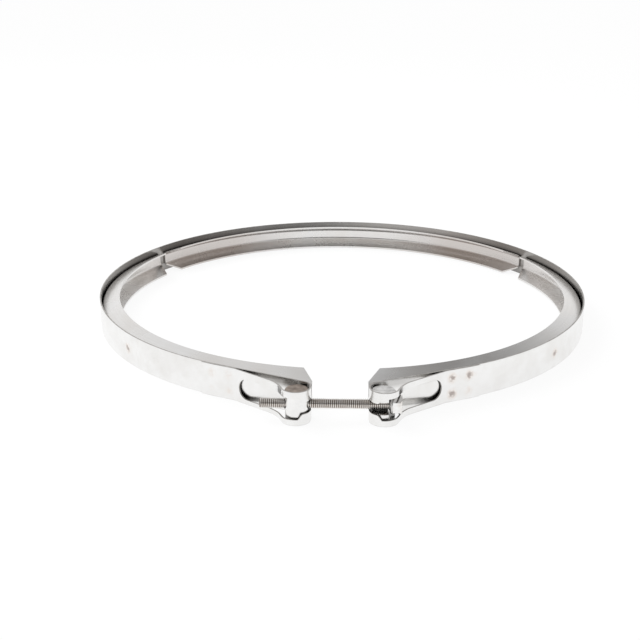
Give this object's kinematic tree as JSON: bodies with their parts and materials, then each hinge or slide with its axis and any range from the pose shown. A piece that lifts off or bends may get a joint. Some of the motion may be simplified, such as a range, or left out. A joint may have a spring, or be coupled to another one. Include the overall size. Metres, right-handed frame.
{
  "type": "v band clamp",
  "caption": "Rolled strap with V-section retainer segments inside and looped ends, drawn together by a bolt between two trunnions, to clamp a pair of tapered pipe flanges.",
  "frame": {"origin": "centre of the ring, on its axis, at the strap's mid-width", "axes": "+Z along the ring's axis, -Y towards the closure, +X from the barrel nut to the bolt's head"},
  "size_m": [0.321, 0.343, 0.019],
  "materials": {
    "strap_steel": "bright rolled stainless steel strip",
    "retainer_steel": "rolled stainless steel, satin",
    "trunnion_steel": "turned stainless steel",
    "washer_steel": "turned stainless steel",
    "bolt_steel": "rolled stainless steel thread"
  },
  "bodies": {
    "band": {"strap": "strap_steel", "v_retainer_left": "retainer_steel", "v_retainer_back": "retainer_steel", "v_retainer_right": "retainer_steel"},
    "barrel_nut": {"barrel_nut": "trunnion_steel"},
    "washer": {"domed_washer": "washer_steel"},
    "bolt": {"hex_bolt": "bolt_steel"},
    "fork": {"fork_trunnion": "trunnion_steel"}
  },
  "joints": [
    {"name": "bolt_swing", "type": "hinge", "parent": "band", "child": "barrel_nut", "pos_m": [-0.02275, -0.1744, 0], "axis": [0, 0, -1], "range_deg": [0, 35]},
    {"name": "bolt_feed", "type": "slide", "parent": "barrel_nut", "child": "washer", "axis": [1, 0, 0], "range_m": [0, 0.01]},
    {"name": "bolt_spin", "type": "hinge", "parent": "washer", "child": "bolt", "pos_m": [0, -0.1744, 0], "axis": [1, 0, 0], "range_deg": [0, 3600]},
    {"name": "fork_turn", "type": "hinge", "parent": "band", "child": "fork", "pos_m": [0.02275, -0.1744, 0], "axis": [0, 0, 1], "range_deg": [-5, 5]}
  ],
  "couplings": [
    {"joint": "bolt_spin", "follows": "bolt_feed", "rad_per_m": 6283.1}
  ]
}
